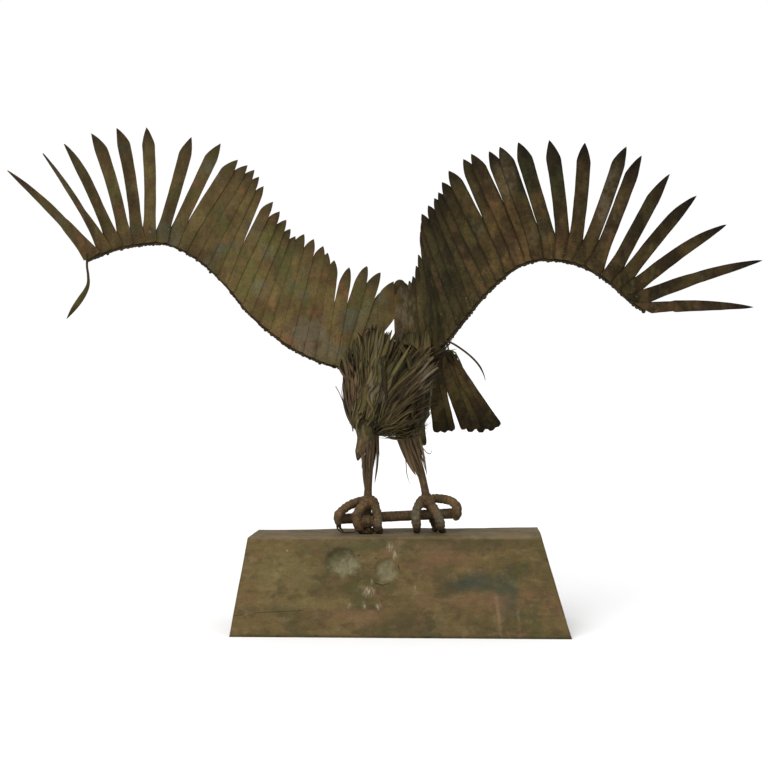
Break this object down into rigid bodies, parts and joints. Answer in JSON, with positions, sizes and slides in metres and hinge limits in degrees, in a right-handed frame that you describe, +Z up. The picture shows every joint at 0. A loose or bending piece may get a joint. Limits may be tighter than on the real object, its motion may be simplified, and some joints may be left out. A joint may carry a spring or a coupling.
{
  "type": "wrought iron eagle sculpture",
  "caption": "Rusted wrought iron eagle with raised wings of flat strip feathers, bowed head and hooked beak, gripping a round bar on a tapered hollow sheet-iron plinth.",
  "frame": {"origin": "bottom centre of the bounding box, on the plane that the plinth's rim stands on", "axes": "+X across the wings to the viewer's right, +Z up, the eagle faces -Y"},
  "size_m": [1.8922, 0.373, 1.2592],
  "materials": {
    "rusted_iron_strip": "rough olive-brown rust patina with reddish and green patches and darker tips",
    "dark_iron_rod": "dark rough rod with weld beads",
    "forged_iron_bar": "rough hand-forged bar with brown rust and dull ridges",
    "plinth_sheet": "mottled olive and rust-brown patina on dented and scuffed sheet"
  },
  "bodies": {
    "root": {"plinth": "plinth_sheet", "perch_bar": "forged_iron_bar", "left_foot_outer_talon": "forged_iron_bar", "left_foot_front_talon": "forged_iron_bar", "left_foot_inner_talon": "forged_iron_bar", "left_foot_rear_talon": "forged_iron_bar", "right_foot_outer_talon": "forged_iron_bar", "right_foot_front_talon": "forged_iron_bar", "right_foot_inner_talon": "forged_iron_bar", "right_foot_rear_talon": "forged_iron_bar", "left_leg": "forged_iron_bar", "right_leg": "forged_iron_bar", "body_feather_bundle": "rusted_iron_strip", "head_with_beak": "forged_iron_bar", "tail_feather_1": "rusted_iron_strip", "tail_feather_2": "rusted_iron_strip", "tail_feather_3": "rusted_iron_strip", "tail_feather_4": "rusted_iron_strip", "tail_feather_5": "rusted_iron_strip", "tail_feather_6": "rusted_iron_strip", "tail_feather_7": "rusted_iron_strip", "left_wing_rod": "dark_iron_rod", "left_inner_feathers_a": "rusted_iron_strip", "left_inner_feathers_b": "rusted_iron_strip", "left_inner_feathers_c": "rusted_iron_strip", "left_inner_feathers_d": "rusted_iron_strip", "left_inner_feathers_e": "rusted_iron_strip", "left_inner_feathers_f": "rusted_iron_strip", "right_wing_rod": "dark_iron_rod", "right_inner_feathers_a": "rusted_iron_strip", "right_inner_feathers_b": "rusted_iron_strip", "right_inner_feathers_c": "rusted_iron_strip", "right_inner_feathers_d": "rusted_iron_strip", "right_inner_feathers_e": "rusted_iron_strip", "right_inner_feathers_f": "rusted_iron_strip", "left_outer_feather_20": "rusted_iron_strip", "left_outer_feather_21": "rusted_iron_strip", "left_outer_feather_22": "rusted_iron_strip", "left_outer_feather_23": "rusted_iron_strip", "left_outer_feather_24": "rusted_iron_strip", "left_outer_feather_25": "rusted_iron_strip", "left_outer_feather_26": "rusted_iron_strip", "left_outer_feather_27": "rusted_iron_strip", "right_outer_feather_21": "rusted_iron_strip", "right_outer_feather_22": "rusted_iron_strip", "right_outer_feather_23": "rusted_iron_strip", "right_outer_feather_24": "rusted_iron_strip", "right_outer_feather_25": "rusted_iron_strip", "right_outer_feather_26": "rusted_iron_strip", "right_outer_feather_27": "rusted_iron_strip", "right_outer_feather_28": "rusted_iron_strip", "right_outer_feather_29": "rusted_iron_strip", "right_outer_feather_30": "rusted_iron_strip", "left_end_feather": "rusted_iron_strip"}
  },
  "joints": []
}
